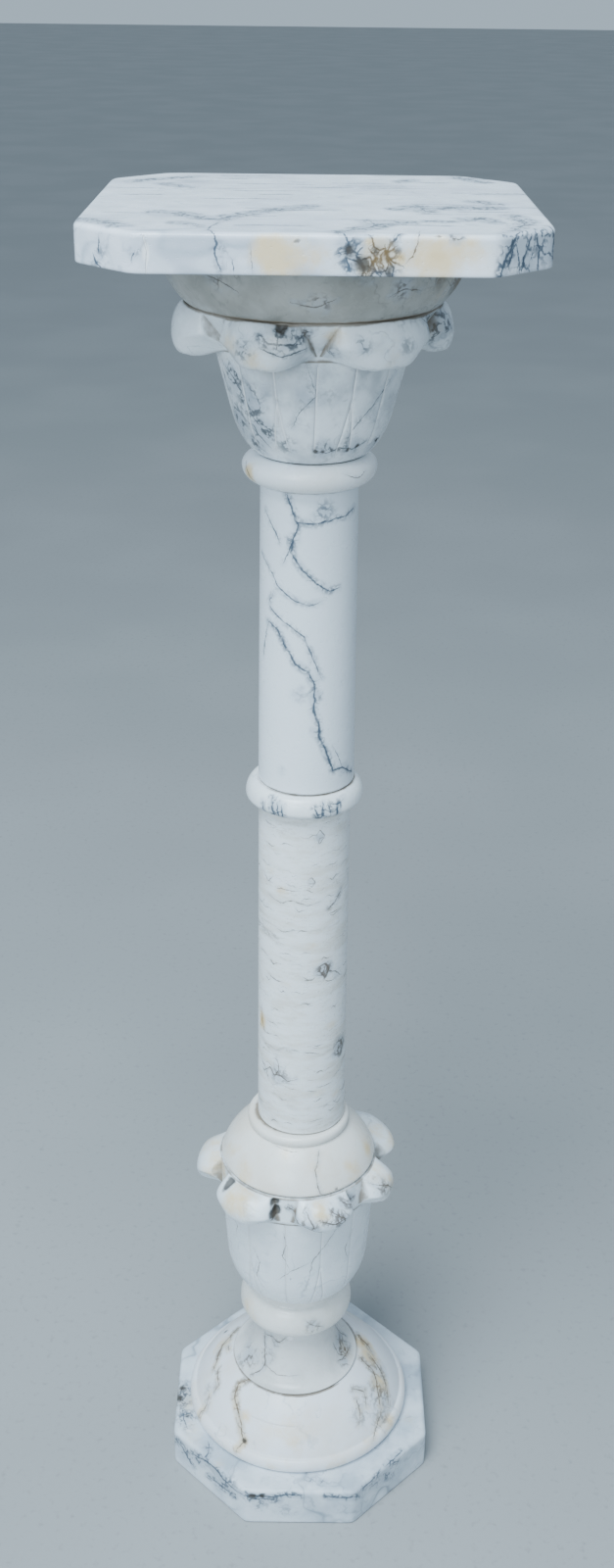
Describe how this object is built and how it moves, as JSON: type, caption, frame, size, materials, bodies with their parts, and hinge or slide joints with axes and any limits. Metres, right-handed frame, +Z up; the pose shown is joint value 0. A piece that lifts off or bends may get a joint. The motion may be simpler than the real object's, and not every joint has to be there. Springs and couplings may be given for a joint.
{
  "type": "column pedestal",
  "caption": "Marble column pedestal: octagonal plinth, domed base, leaf cup and skirt, slim ringed shafts, leaf capital and a slab with canted corners.",
  "frame": {"origin": "centre of the bounding box at the plinth's underside, on the floor", "axes": "+Z up along the column to the top slab, -Y towards the viewer of the picture, +X to the viewer's right"},
  "size_m": [0.267, 0.267, 1.01],
  "materials": {
    "plinth_marble": "worn honed grey-white marble with dark stains",
    "disc_marble": "polished white marble, cream and brown stained",
    "neck_marble": "polished grey-white veined marble",
    "lower_ring_marble": "polished cream marble",
    "cup_marble": "polished bluish-white marble, cream leaves",
    "skirt_marble": "polished warm cream marble",
    "lower_shaft_marble": "polished white marble with fine grey veins",
    "middle_ring_marble": "polished white marble with dark cracks",
    "upper_shaft_marble": "polished white marble with blue-grey veins",
    "upper_ring_marble": "polished warm white marble",
    "capital_marble": "polished mottled white and grey marble",
    "dish_marble": "polished grey-white marble",
    "slab_marble": "polished white marble with grey and yellow veins"
  },
  "bodies": {
    "root": {"plinth": "plinth_marble", "base_disc": "disc_marble", "neck": "neck_marble", "lower_ring": "lower_ring_marble", "lower_leaf_cup": "cup_marble", "skirt": "skirt_marble", "lower_shaft": "lower_shaft_marble", "middle_ring": "middle_ring_marble", "upper_shaft": "upper_shaft_marble", "upper_ring": "upper_ring_marble", "capital_bell": "capital_marble", "dish": "dish_marble", "top_slab": "slab_marble"}
  },
  "joints": []
}
